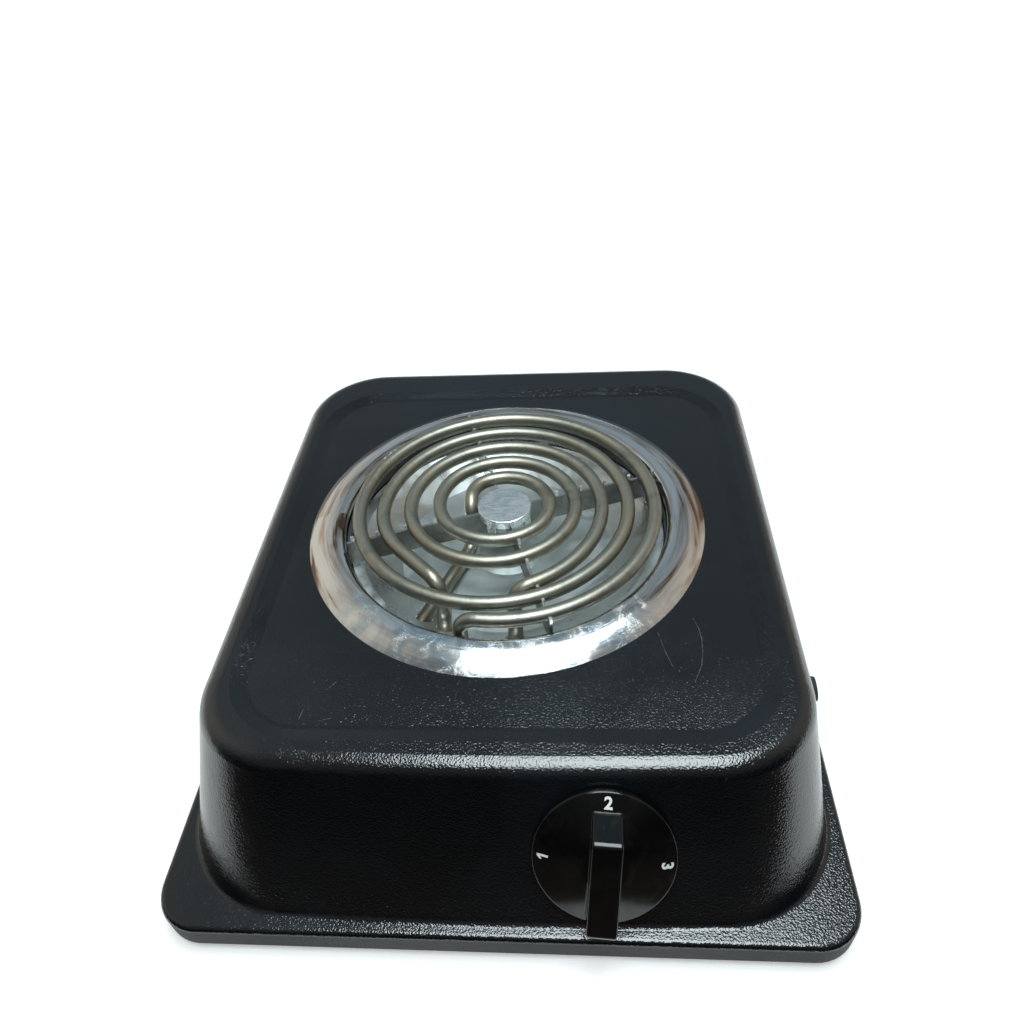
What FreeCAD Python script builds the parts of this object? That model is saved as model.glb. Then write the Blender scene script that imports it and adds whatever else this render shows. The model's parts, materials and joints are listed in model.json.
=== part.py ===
"""Single coil table stove: a pressed steel housing, a two-tube coil on a notched cross and a heat switch.

Millimetres, +Z up, +X to the right and +Y to the back, with the knob at the front (-Y).
The origin lies on the table, under the middle of the stove.
"""

import FreeCAD
import Part
import math
import os
from FreeCAD import Vector

# Housing: the walls are measured between their sharp edges, before rounding
sheet = 1.0                # steel sheet of the housing
top_half_w = 119.6         # half width of the top
top_front = -116.3         # front edge of the top
top_back = 145.0           # back edge of the top
top_corner_r = 40.0        # corner radius at the top
foot_corner_r = 44.6       # corner radius at the foot of the wall
side_run = 7.2             # how far the side and back walls lean out at the foot
front_run = 32.4           # how far the front wall leans out at the foot
front_bow_r = 2100.0       # the front wall is slightly bowed
wall_h = 53.2              # from the flange to the rim
top_round = 8.9            # rounding of the top edge
foot_round = 2.5           # rounding where the wall meets the flange

# Flange round the foot, with its turned-down lip
flange_out = 6.4           # flange beyond the side and back walls
flange_front_out = 5.6     # flange beyond the bowed front wall
flange_corner_r = 18.3
lip_h = 11.5
lip_round = 2.2

# Sunk panel in the top
panel_sink = 1.8
panel_half_w = 108.5
panel_front = -105.6
panel_back = 123.0
panel_corner_r = 33.0
panel_slope_w = 6.2        # width of the soft step round the panel
panel_step_round = 7.0

# Burner opening: a turned-down collar with a ledge
burner_x = -3.2
burner_y = 16.7
collar_r = 75.0            # inside of the collar
collar_h = 8.9             # from the panel down to the ledge
ledge_w = 5.0
leg_slot_w = 9.0           # slot in the ledge for the outer leg

# Trim ring: a low domed ring with a curled inner lip
ring_sheet = 0.8
ring_coil_gap = 2.7        # outermost tube to the ring's inner lip
ring_curl_r = 3.0          # curl from the crest down to the inner lip
ring_crest_h = 4.5
ring_dome_w = 14.15        # from the crest out to the foot

# Reflector pan
pan_sheet = 0.6
pan_fit = 0.5              # pan rim to collar
pan_depth = 13.0
pan_wall_w = 17.0
pan_boss_r = 14.0
pan_boss_h = 1.5
pan_leg_fit = 0.7          # room round the legs where they leave the pan

# Coil: five turns in two tubes
tube_r = 3.25
coil_r = 69.6              # middle of the outermost turn
coil_pitch = 12.1
coil_above_panel = 7.4     # middle of the tubes above the panel
leg_bend_r = 8.0
leg_drop = 23.4            # from the coil down to the legs
leg_end_y = -96.0          # end of the legs, from the middle of the burner
outer_start_deg = -96.0    # where the outer tube joins its first turn
outer_step_deg = 150.0     # where it steps in to its second turn
outer_leave_deg = 175.0    # where it leaves that turn
outer_end_r = 43.0
outer_end_deg = 50.0
outer_end_run = 20.0
lead_r = 54.5              # the inner tube's lead into its first turn
lead_deg = 65.0
middle_step_deg = 150.0    # where it steps in to its second turn
inner_step_deg = 130.0     # where it steps in to its last turn
inner_end_x = -16.2
inner_end_y = 8.0
inner_leg_deg = 249.0
inner_leg_run = 52.0
inner_leg_turn_r = 20.0

# Ends of the tubes
bead_l = 6.0
bead_r = 3.1
pin_r = 1.1
pin_l = 15.0
pin_fit = 0.05

# Support cross
arm_deg = 18.0
arm_t = 1.2
arm_h = 12.6
arm_below_coil = 0.7       # top edge of the arms below the middle of the tubes
arm_foot_w = 3.4
arm_lap_fit = 0.1
notch_fit = 0.15
lug_w = 1.4
lug_h = 2.9
lug_fit = 0.4

# Cap in the middle of the cross
cap_r = 12.6
cap_sheet = 0.8
cap_above_coil = 1.1
cap_skirt_h = 3.9
cap_hub_r = 6.0
cap_leg_w = 5.0
cap_leg_h = 6.5
cap_slot_fit = 0.3

# Base plate, brackets and feet
plate_t = 0.8
plate_up = 3.0             # underside of the plate above the lip's edge
plate_fit = 0.4
foot_inset = 12.5          # feet in from the flange's edges
foot_stand = 5.0           # lip's edge above the table
foot_top_r = 7.0
foot_bottom_r = 6.0
foot_sink_r = 3.6
foot_sink_h = 3.0
screw_r = 1.6
screw_head_r = 3.0
screw_head_h = 1.6
screw_fit = 0.1
screw_past = 2.0           # a screw's tip past the last sheet
foot_edge_round = 1.0
bracket_w = 10.0
bracket_t = 1.2
bracket_screw_out = 2.6    # screw past the bracket's lower tab
vent_w = 5.0
vent_l = 46.0
vent_pitch = 13.0
vent_count = 9
vent_y = 62.0

# Leg bracket on the base plate
leg_bracket_t = 1.2
leg_bracket_y = -88.0      # from the middle of the burner
leg_bracket_over = 6.0     # plate above and beside the legs
leg_bracket_foot = 14.0
leg_hole_fit = 0.2
leg_window_h = 20.0
leg_window_margin = 9.0

# Knob: heights are measured out from the front wall
knob_x = 39.1
knob_up = 29.9             # along the slope, from the foot of the wall
knob_rest_deg = -4.0
knob_r = 25.9
knob_gap = 1.2
knob_edge_h = 2.4
knob_skirt_w = 1.2
knob_edge_round = 0.6
knob_cone_r = 9.0
knob_cone_h = 8.6
knob_wall = 1.8
knob_hub_r = 6.0
grip_half_w = 5.4
grip_h = 17.2
grip_top = 18.8
grip_ridge = 13.3
grip_bottom = -23.0
grip_foot_h = 2.6
grip_ridge_round = 2.6
grip_end_h = 6.9           # upper edge of the bar's end
grip_end_round = 0.5
grip_edge_round = 0.9

# Heat switch behind the front wall
shaft_r = 3.0
shaft_fit = 0.05
shaft_hole_fit = 1.0       # shaft to the hole in the front wall
shaft_in_knob = 13.0
shaft_flat = 1.8           # flat of the shaft, from its middle
shaft_flat_start = 2.0     # from the knob's underside
clip_t = 0.6
clip_w = 4.0
clip_l = 9.0
clip_fit = 0.05
switch_gap = 0.6           # bowed wall to the switch plate
switch_plate_t = 1.2
switch_plate_margin = 1.8  # plate beyond its screws
switch_w = 36.0
switch_h = 30.0
switch_d = 17.0
switch_wall = 2.5
switch_front = 3.0
switch_cover_t = 2.5
switch_corner_r = 2.0
switch_screw_r = 1.4
switch_screw_clear = 0.8   # screw to the side of the switch
switch_screw_x = switch_w / 2 + switch_screw_clear + switch_screw_r
switch_plate_w = 2 * (switch_screw_x + switch_plate_margin)
switch_head_r = 2.7
switch_head_h = 1.4
bearing_l = 1.5
cam_r = 9.0
cam_lift = 1.5
cam_w = 6.0
cam_fit = 0.02
contact_t = 0.5
contact_w = 5.0
contact_clear = 0.5
tab_w = 6.3
tab_t = 0.8
tab_l = 8.0
tab_hole_r = 1.0
tab_x = 10.0
tab_y = 7.0

# Cord gland in the right wall
gland_y = -60.0
gland_up = 23.0            # along the wall, from its foot
gland_hole_r = 5.4
gland_fit = 0.1
gland_bore_r = 3.6
gland_flange_r = 7.6
gland_flange_t = 2.4
gland_nose_r = 5.0
gland_nose_taper = 1.0
gland_nose_l = 2.8

# Mains block, cord clamp and earth screw on the base plate
block_in = 45.2            # middle of the block and the clamp, in from the flange's side
block_y = -62.0
block_w = 34.0
block_d = 18.0
block_h = 15.0
block_well_r = 3.2
block_well_h = 9.0
block_screw_r = 2.6
block_slot_w = 0.8
block_slot_h = 1.0
block_edge_round = 1.0
block_ways = 3
clamp_y = -92.0
clamp_l = 30.0
clamp_w = 9.0
clamp_t = 1.5
clamp_arch_r = 4.0
earth_in = 71.2
earth_y = -79.0
earth_head_r = 3.6
earth_h = 3.4
tag_t = 0.8
tag_l = 14.0
tag_corner_r = 2.0

# Heights
lip_bottom_z = foot_stand
flange_z = lip_bottom_z + lip_h
rim_z = flange_z + wall_h
panel_z = rim_z - panel_sink
ledge_z = panel_z - collar_h
coil_z = panel_z + coil_above_panel
leg_z = coil_z - leg_drop
plate_z = lip_bottom_z + plate_up
plate_top = plate_z + plate_t
flange_half_w = top_half_w + side_run + flange_out
flange_front = top_front - front_run - flange_front_out
flange_back = top_back + side_run + flange_out
block_x = flange_half_w - block_in
clamp_x = block_x
earth_x = flange_half_w - earth_in
burner = Vector(burner_x, burner_y, 0)
front_slope = math.atan2(front_run, wall_h)
side_slope = math.atan2(side_run, wall_h)


def save(name, shape):
    """Write one piece as parts/NAME.step."""
    solids = shape.Solids
    if not solids or not shape.isValid():
        print("CHECK", name, "solids", len(solids), "valid", shape.isValid())
    shape.exportStep(os.path.join("parts", name + ".step"))
    box = shape.BoundBox
    print("%-20s solids %d volume %10.1f  z %.2f to %.2f" % (
        name, len(solids), shape.Volume, box.ZMin, box.ZMax))
    built[name] = shape


def block(x1, x2, y1, y2, z1, z2):
    return Part.makeBox(x2 - x1, y2 - y1, z2 - z1, Vector(x1, y1, z1))


def rod(r, z1, z2, x=0.0, y=0.0):
    return Part.makeCylinder(r, z2 - z1, Vector(x, y, z1))


def polygon(points):
    return Part.makePolygon(points + points[:1])


def arc(a, b, c):
    return Part.Arc(a, b, c).toShape()


def line(a, b):
    return Part.LineSegment(a, b).toShape()


def polar(r, deg, z=0.0):
    a = math.radians(deg)
    return Vector(r * math.cos(a), r * math.sin(a), z)


def mirror(p):
    return Vector(-p.x, p.y, p.z)


def outline(half_w, front, back, r, z, bow_r=None):
    """A rounded rectangle at height z. With bow_r its front side is one large arc, tangent to the corners."""
    x = half_w - r
    if bow_r:
        bow_mid = Vector(0, front + bow_r, z)
        corner_y = bow_mid.y - math.sqrt((bow_r - r) ** 2 - x ** 2)
        reach = (Vector(x, corner_y, z) - bow_mid).normalize()
        front_right = bow_mid + reach * bow_r
        start_deg = math.degrees(math.atan2(reach.y, reach.x))
    else:
        corner_y = front + r
        front_right = Vector(x, front, z)
        start_deg = -90.0
    right_low = Vector(half_w, corner_y, z)
    right_high = Vector(half_w, back - r, z)
    back_right = Vector(x, back, z)
    front_bend = Vector(x, corner_y, z) + polar(r, start_deg / 2)
    back_bend = Vector(x, back - r, z) + polar(r, 45)
    if bow_r:
        front_side = arc(mirror(front_right), Vector(0, front, z), front_right)
    else:
        front_side = line(mirror(front_right), front_right)
    edges = [
        front_side,
        arc(front_right, front_bend, right_low),
        line(right_low, right_high),
        arc(right_high, back_bend, back_right),
        line(back_right, mirror(back_right)),
        arc(mirror(back_right), mirror(back_bend), mirror(right_high)),
        line(mirror(right_high), mirror(right_low)),
        arc(mirror(right_low), mirror(front_bend), mirror(front_right)),
    ]
    return Part.Wire(edges)


def prism(wire, height):
    return Part.Face(wire).extrude(Vector(0, 0, height))


def level_edges(shape, z):
    """The edges that lie wholly at height z."""
    return [e for e in shape.Edges if abs(e.BoundBox.ZMin - z) < 0.001 and abs(e.BoundBox.ZMax - z) < 0.001]


def revolve(wire):
    return Part.Face(wire).revolve(Vector(), Vector(0, 0, 1), 360)


def frame_on_wall(origin, axis, tilt):
    """A placement whose local Z is the outward normal of a leaning wall."""
    return FreeCAD.Placement(origin, FreeCAD.Rotation(axis, tilt))


class TubePath:
    """A bent tube's middle line: straight runs joined by tangent arcs."""

    def __init__(self, start, heading):
        self.at = start
        self.heading = heading
        self.edges = []

    def straight(self, length):
        end = self.at + self.heading * length
        self.edges.append(line(self.at, end))
        self.at = end
        return self

    def swing(self, r, deg, axis):
        middle = self.at + axis.cross(self.heading) * r
        spoke = self.at - middle
        half = FreeCAD.Rotation(axis, deg / 2)
        whole = FreeCAD.Rotation(axis, deg)
        end = middle + whole.multVec(spoke)
        self.edges.append(arc(self.at, middle + half.multVec(spoke), end))
        self.at = end
        self.heading = whole.multVec(self.heading)
        return self

    def turn(self, r, deg):
        return self.swing(r, deg, Vector(0, 0, 1))

    def bend_to(self, r, heading):
        return self.swing(r, 90.0, self.heading.cross(heading).normalize())

    def tube(self, r):
        first = self.edges[0]
        start = first.valueAt(first.FirstParameter)
        along = first.tangentAt(first.FirstParameter)
        ring = Part.Wire(Part.makeCircle(r, start, along))
        return Part.Wire(self.edges).makePipeShell([ring], True, False)

    def points(self, step):
        found = []
        for edge in self.edges:
            count = max(2, int(edge.Length / step))
            found += edge.discretize(count)[:-1]
        return found


def least_gap(points, diameter, reach):
    """Smallest gap of a tube to itself, between points further apart along it than reach."""
    along = [0.0]
    for a, b in zip(points, points[1:]):
        along.append(along[-1] + a.distanceToPoint(b))
    best = 1e9
    for i, p in enumerate(points):
        for j in range(i + 1, len(points)):
            if along[j] - along[i] > reach:
                best = min(best, p.distanceToPoint(points[j]))
    return best - diameter


os.makedirs("parts", exist_ok=True)
built = {}

# Housing shell
# The wall is a ruled loft between two outlines and the flange a second block, each hollowed by its inner twin.
inner_front = sheet / math.cos(front_slope)
inner_foot_z = flange_z - sheet
inner_rim_z = rim_z - sheet


def wall_outline(z, inset, front_inset):
    """Outline of the wall at height z, moved in by the insets."""
    out = (rim_z - z) / wall_h
    r = top_corner_r + (foot_corner_r - top_corner_r) * out - inset
    half_w = top_half_w + side_run * out - inset
    front = top_front - front_run * out + front_inset
    back = top_back + side_run * out - inset
    return outline(half_w, front, back, r, z, front_bow_r)


outer_wall = Part.makeLoft([wall_outline(flange_z, 0, 0), wall_outline(rim_z, 0, 0)], True, True)
outer_wall = outer_wall.makeFillet(top_round, level_edges(outer_wall, rim_z))
inner_wall = Part.makeLoft(
    [wall_outline(inner_foot_z, sheet, inner_front), wall_outline(inner_rim_z, sheet, inner_front)], True, True)
inner_wall = inner_wall.makeFillet(top_round - sheet, level_edges(inner_wall, inner_rim_z))

flange_block = prism(outline(flange_half_w, flange_front, flange_back, flange_corner_r, lip_bottom_z), lip_h)
flange_block = flange_block.makeFillet(lip_round, level_edges(flange_block, flange_z))
flange_room = prism(
    outline(flange_half_w - sheet, flange_front + sheet, flange_back - sheet, flange_corner_r - sheet,
            lip_bottom_z),
    lip_h - sheet)
flange_room = flange_room.makeFillet(lip_round - sheet, level_edges(flange_room, inner_foot_z))

outer_form = outer_wall.fuse(flange_block).removeSplitter()
foot_edges = [e for e in level_edges(outer_form, flange_z)
              if e.BoundBox.YMin > flange_front + flange_front_out - 1.0
              and e.BoundBox.XMax < flange_half_w - flange_out + 1.0
              and e.BoundBox.YMax < flange_back - flange_out + 1.0]
outer_form = outer_form.makeFillet(foot_round, foot_edges)


def panel_cutter(z, inset):
    """The tool that sinks the panel to height z, moved out by inset for the underside."""
    low = outline(panel_half_w - panel_slope_w + inset, panel_front + panel_slope_w - inset,
                  panel_back - panel_slope_w + inset, panel_corner_r - panel_slope_w + inset, z)
    high = outline(panel_half_w + inset, panel_front - inset, panel_back + inset, panel_corner_r + inset,
                   z + panel_sink)
    return Part.makeLoft([low, high], True, True)


outer_form = outer_form.cut(panel_cutter(panel_z, 0.0))
step_edges = level_edges(outer_form, panel_z)
outer_form = outer_form.makeFillet(panel_step_round, step_edges)
inner_form = inner_wall.cut(panel_cutter(panel_z - sheet, sheet)).fuse(flange_room)
shell = outer_form.cut(inner_form)

collar = revolve(polygon([
    Vector(collar_r - ledge_w, 0, ledge_z - sheet),
    Vector(collar_r + sheet, 0, ledge_z - sheet),
    Vector(collar_r + sheet, 0, panel_z),
    Vector(collar_r, 0, panel_z),
    Vector(collar_r, 0, ledge_z),
    Vector(collar_r - ledge_w, 0, ledge_z),
]))
collar.translate(burner)
shell = shell.cut(rod(collar_r, ledge_z, rim_z + sheet, burner_x, burner_y)).fuse(collar)

# Front wall frame for the knob and switch: local X right, Y up the slope, Z out of the wall
wall_foot_y = top_front - front_run
knob_sag = front_bow_r - math.sqrt(front_bow_r ** 2 - knob_x ** 2)
knob_origin = Vector(
    knob_x,
    wall_foot_y + knob_sag + knob_up * math.sin(front_slope),
    flange_z + knob_up * math.cos(front_slope))
on_front = frame_on_wall(knob_origin, Vector(1, 0, 0), 90.0 - math.degrees(front_slope))

# Right wall frame for the gland: local Z out of the wall
gland_origin = Vector(
    top_half_w + side_run - gland_up * math.sin(side_slope),
    gland_y,
    flange_z + gland_up * math.cos(side_slope))
on_right = frame_on_wall(gland_origin, Vector(0, 1, 0), 90.0 - math.degrees(side_slope))


def placed(shape, placement):
    moved = shape.copy()
    moved.Placement = placement.multiply(moved.Placement)
    return moved


drill_l = 6 * sheet
switch_holes = [rod(switch_screw_r + screw_fit, -drill_l, drill_l, side * switch_screw_x) for side in (-1, 1)]
front_holes = [rod(shaft_r + shaft_hole_fit, -drill_l, drill_l)] + switch_holes
for hole in front_holes:
    shell = shell.cut(placed(hole, on_front))
shell = shell.cut(placed(rod(gland_hole_r, -drill_l, drill_l), on_right))

# Coil: plan arcs about the burner's middle, with legs that dip and run to the front
turn_r = [coil_r - k * coil_pitch for k in range(5)]
up = Vector(0, 0, 1)
down = Vector(0, 0, -1)
to_back = Vector(0, 1, 0)
to_front = Vector(0, -1, 0)
leg_rise = leg_drop - 2 * leg_bend_r


def leg_up(x, y, heading_deg):
    """Start of a tube: from its front end back to the leg at x, y, and up into the coil."""
    path = TubePath(Vector(x, leg_end_y, leg_z), to_back)
    path.straight(y - leg_bend_r - leg_end_y)
    path.bend_to(leg_bend_r, up).straight(leg_rise).bend_to(leg_bend_r, polar(1, heading_deg))
    return path


def leg_down(path, heading):
    return path.bend_to(leg_bend_r, down).straight(leg_rise).bend_to(leg_bend_r, heading)


outer_heading = outer_start_deg + 90.0
outer_leg = polar(turn_r[0], outer_start_deg) - polar(leg_bend_r, outer_heading)
outer_path = leg_up(outer_leg.x, outer_leg.y, outer_heading)
outer_path.turn(turn_r[0], -outer_start_deg).turn(turn_r[0], outer_step_deg)
outer_path.turn((turn_r[0] + turn_r[1]) / 2, 180)
outer_path.turn(turn_r[1], 180.0 - outer_step_deg).turn(turn_r[1], outer_leave_deg)
outer_path.turn(outer_end_r, outer_end_deg).straight(outer_end_run)
leg_down(outer_path, to_front)
outer_path.straight(outer_path.at.y - leg_end_y)

lead_heading = 90.0 - lead_deg
lead_start = Vector(turn_r[2] - lead_r, 0, 0) + polar(lead_r, -lead_deg)
lead_leg = lead_start - polar(leg_bend_r, lead_heading)
inner_path = leg_up(lead_leg.x, lead_leg.y, lead_heading)
inner_path.turn(lead_r, lead_deg).turn(turn_r[2], middle_step_deg)
inner_path.turn((turn_r[2] + turn_r[3]) / 2, 180).turn(turn_r[3], 180.0 - middle_step_deg)
inner_path.turn(turn_r[3], inner_step_deg)
inner_path.turn((turn_r[3] + turn_r[4]) / 2, 180).turn(turn_r[4], 180.0 - inner_step_deg)
curl_r = (turn_r[4] ** 2 - inner_end_x ** 2 - inner_end_y ** 2) / (2 * (turn_r[4] + inner_end_x))
curl_deg = math.degrees(math.atan2(inner_end_y, inner_end_x + curl_r))
inner_path.turn(turn_r[4], curl_deg).turn(curl_r, 180.0 - curl_deg)
leg_down(inner_path, polar(1, inner_leg_deg))
inner_path.straight(inner_leg_run).turn(inner_leg_turn_r, 270.0 - inner_leg_deg)
inner_path.straight(inner_path.at.y - leg_end_y)

paths = {"outer_element": outer_path, "inner_element": inner_path}
leg_xs = []
notch_tools = []
leg_tools = []
for name, path in paths.items():
    tube = path.tube(tube_r)
    tube.translate(burner)
    save(name, tube)
    for tools, fit in ((notch_tools, notch_fit), (leg_tools, pan_leg_fit)):
        tool = path.tube(tube_r + fit)
        tool.translate(burner)
        tools.append(tool)
    length = sum(e.Length for e in path.edges)
    print(name, "length %.1f" % length, "volume share %.4f" % (tube.Volume / (math.pi * tube_r ** 2 * length)))
    print(name, "least gap to itself %.2f" % least_gap(path.points(4.0), 2 * tube_r, 6 * tube_r))
    leg_xs += [path.edges[0].valueAt(path.edges[0].FirstParameter).x, path.at.x]
cross_gap = min(p.distanceToPoint(q) for p in outer_path.points(3.0) for q in inner_path.points(3.0))
print("least gap between the tubes %.2f" % (cross_gap - 2 * tube_r))

# Slot in the ledge for the outer leg
slot = block(outer_leg.x - leg_slot_w / 2, outer_leg.x + leg_slot_w / 2,
             -collar_r + sheet / 2, outer_leg.y + leg_slot_w, ledge_z - 2 * sheet, ledge_z + sheet)
slot.translate(burner)
shell = shell.cut(slot)
save("housing_shell", shell)

# Trim ring: two arcs that meet at the crest, and the same profile moved in by the sheet
ring_crest_r = coil_r + tube_r + ring_coil_gap + ring_curl_r
dome_r = (ring_dome_w ** 2 + ring_crest_h ** 2) / (2 * ring_crest_h)
crest_z = panel_z + ring_crest_h


def ring_arcs(inset):
    dome_mid = Vector(ring_crest_r, 0, crest_z - dome_r)
    curl_mid = Vector(ring_crest_r, 0, crest_z - ring_curl_r)
    r1 = dome_r - inset
    r2 = ring_curl_r - inset
    low = math.asin((panel_z - dome_mid.z) / r1)
    outer_point = dome_mid + Vector(r1 * math.cos(low), 0, r1 * math.sin(low))
    middle = (low + math.pi / 2) / 2
    dome_point = dome_mid + Vector(r1 * math.cos(middle), 0, r1 * math.sin(middle))
    crest = dome_mid + Vector(0, 0, r1)
    curl_point = curl_mid + Vector(-r2 * math.sqrt(0.5), 0, r2 * math.sqrt(0.5))
    lip_point = curl_mid + Vector(-r2, 0, 0)
    return outer_point, dome_point, crest, curl_point, lip_point


a0, a1, a2, a3, a4 = ring_arcs(0.0)
b0, b1, b2, b3, b4 = ring_arcs(ring_sheet)
ring = revolve(Part.Wire([arc(a0, a1, a2), arc(a2, a3, a4), line(a4, b4), arc(b4, b3, b2), arc(b2, b1, b0),
                          line(b0, a0)]))
ring.translate(burner)
save("trim_ring", ring)

# Reflector pan: rim, cone, floor with a raised boss, and openings where the legs leave it
pan_rim_r = collar_r - pan_fit
pan_top_r = collar_r - ledge_w - pan_fit
pan_floor_r = pan_top_r - pan_wall_w
pan_floor_z = ledge_z - pan_depth
pan_top_z = ledge_z + pan_sheet
boss_z = pan_floor_z + pan_boss_h
pan = revolve(polygon([
    Vector(0, 0, boss_z),
    Vector(pan_boss_r, 0, boss_z),
    Vector(pan_boss_r + 2 * pan_boss_h, 0, pan_floor_z),
    Vector(pan_floor_r, 0, pan_floor_z),
    Vector(pan_top_r, 0, ledge_z),
    Vector(pan_rim_r, 0, ledge_z),
    Vector(pan_rim_r, 0, pan_top_z),
    Vector(pan_top_r - pan_sheet / 2, 0, pan_top_z),
    Vector(pan_floor_r - pan_sheet / 2, 0, pan_floor_z + pan_sheet),
    Vector(pan_boss_r + 2 * pan_boss_h, 0, pan_floor_z + pan_sheet),
    Vector(pan_boss_r, 0, boss_z + pan_sheet),
    Vector(0, 0, boss_z + pan_sheet),
]))
pan.translate(burner)
for tool in leg_tools:
    pan = pan.cut(tool)
save("reflector_pan", pan)

# Support cross: two strips on edge, half-lapped, notched for the tubes, with a lug beside each tube
arm_top = coil_z - arm_below_coil
arm_bottom = arm_top - arm_h
arm_half_l = coil_r + tube_r + lug_fit + lug_w
arm_seat_z = pan_top_z
tube_points = [p for path in paths.values() for p in path.points(1.0) if abs(p.z - leg_drop - leg_z) < 0.01]


def crossings(deg):
    """Distances from the middle at which the tubes cross the ray at deg."""
    along = polar(1, deg)
    across = polar(1, deg + 90)
    found = []
    for p in tube_points:
        flat = Vector(p.x, p.y, 0)
        if abs(flat.dot(across)) < 0.6 and flat.dot(along) > 0:
            r = flat.dot(along)
            if not found or min(abs(r - other) for other in found) > tube_r:
                found.append(r)
    return found


def support_arm(deg, lap_from_top):
    strip = block(-arm_half_l, arm_half_l, -arm_t / 2, arm_t / 2, arm_bottom, arm_top)
    for side in (0, 180):
        extras = [block(arm_half_l - arm_foot_w, arm_half_l - pan_fit, -arm_t / 2, arm_t / 2,
                        arm_seat_z, arm_bottom)]
        for r in crossings(deg + side):
            inside = r + tube_r + lug_fit
            extras.append(block(inside, inside + lug_w, -arm_t / 2, arm_t / 2, arm_top, arm_top + lug_h))
        for extra in extras:
            extra.rotate(Vector(), up, side)
            strip = strip.fuse(extra)
    lap_w = arm_t / 2 + arm_lap_fit
    lap_z = arm_bottom + arm_h / 2
    if lap_from_top:
        lap = block(-lap_w, lap_w, -arm_t, arm_t, lap_z - arm_lap_fit, arm_top + lug_h)
    else:
        lap = block(-lap_w, lap_w, -arm_t, arm_t, arm_bottom - lug_h, lap_z)
    strip = strip.cut(lap)
    strip.rotate(Vector(), up, deg)
    strip.translate(burner)
    for tool in notch_tools:
        strip = strip.cut(tool)
    return strip.removeSplitter()


save("support_arm_long", support_arm(arm_deg, True))
save("support_arm_cross", support_arm(arm_deg + 90.0, False))

# Cap over the middle of the cross, slotted over the arms, with four clip legs between them
cap_z = coil_z + cap_above_coil
cap_under = cap_z - cap_sheet
cap_low = cap_z - cap_skirt_h
cap = rod(cap_r, cap_low, cap_z)
cap = cap.makeFillet(cap_sheet, level_edges(cap, cap_z))
cap = cap.cut(rod(cap_r - cap_sheet, cap_low, cap_under))
clip_ring = rod(cap_r, cap_low - cap_leg_h, cap_low).cut(rod(cap_r - cap_sheet, cap_low - cap_leg_h, cap_low))
for k in range(4):
    reach = block(0, cap_r, -cap_leg_w / 2, cap_leg_w / 2, cap_low - cap_leg_h, cap_low)
    reach.rotate(Vector(), up, arm_deg + 45.0 + 90.0 * k)
    cap = cap.fuse(clip_ring.common(reach))
slot_half = arm_t / 2 + cap_slot_fit
for k in range(2):
    arm_room = block(-cap_r, cap_r, -slot_half, slot_half, cap_low, arm_top)
    arm_room.rotate(Vector(), up, arm_deg + 90.0 * k)
    cap = cap.cut(arm_room)
cap = cap.fuse(rod(cap_hub_r, arm_top, cap_under)).removeSplitter()
cap.translate(burner)
save("centre_medallion", cap)

# Ends of the tubes: a ceramic bead and a steel pin on each leg
leg_xs.sort()
along_y = FreeCAD.Rotation(Vector(1, 0, 0), 90)
for k, x in enumerate(leg_xs):
    at_end = FreeCAD.Placement(burner + Vector(x, leg_end_y, leg_z), along_y)
    bead = rod(bead_r, 0, bead_l).cut(rod(pin_r + pin_fit, 0, bead_l))
    save("end_bead_%d" % (k + 1), placed(bead, at_end))
    save("terminal_pin_%d" % (k + 1), placed(rod(pin_r, 0, pin_l), at_end))

# Leg bracket: a folded plate on the base plate, drilled for the legs, with an open window below them
plate_left = leg_xs[0] - tube_r - leg_bracket_over
plate_right = leg_xs[-1] + tube_r + leg_bracket_over
bracket_top = leg_z + tube_r + leg_bracket_over
bracket_y = leg_bracket_y
leg_bracket = block(plate_left, plate_right, bracket_y, bracket_y + leg_bracket_t, plate_top, bracket_top)
leg_bracket = leg_bracket.fuse(
    block(plate_left, plate_right, bracket_y - leg_bracket_foot, bracket_y,
          plate_top, plate_top + leg_bracket_t))
for x in leg_xs:
    hole = placed(rod(tube_r + leg_hole_fit, -leg_bracket_foot, leg_bracket_foot),
                  FreeCAD.Placement(Vector(x, bracket_y, leg_z), along_y))
    leg_bracket = leg_bracket.cut(hole)
window_low = plate_top + leg_window_margin
leg_bracket = leg_bracket.cut(
    block(plate_left + leg_window_margin, plate_right - leg_window_margin, bracket_y - leg_bracket_t,
          bracket_y + 2 * leg_bracket_t, window_low, window_low + leg_window_h))
leg_screw_y = bracket_y - leg_bracket_foot / 2
leg_screws = [Vector(x, leg_screw_y, 0) + burner
              for x in (plate_left + leg_window_margin, plate_right - leg_window_margin)]
leg_bracket.translate(burner)
for at in leg_screws:
    leg_bracket = leg_bracket.cut(
        rod(screw_r + screw_fit, plate_z - plate_t, plate_top + 2 * leg_bracket_t, at.x, at.y))
save("leg_bracket", leg_bracket.removeSplitter())


def screw(head_z, tip_z, r, head_r, head_h):
    """A pan-head screw along local Z with its head below head_z and its tip at tip_z."""
    head = rod(head_r, head_z - head_h, head_z)
    head = head.makeFillet(head_h / 2, level_edges(head, head_z - head_h))
    slot_tool = block(-head_r, head_r, -head_h / 5, head_h / 5, head_z - head_h, head_z - head_h / 2)
    return head.cut(slot_tool).fuse(rod(r, head_z, tip_z))


for k, at in enumerate(leg_screws):
    piece = screw(plate_z, plate_top + 2 * leg_bracket_t, screw_r, screw_head_r, screw_head_h)
    piece.translate(at)
    save("leg_bracket_screw_%d" % (k + 1), piece)

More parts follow.
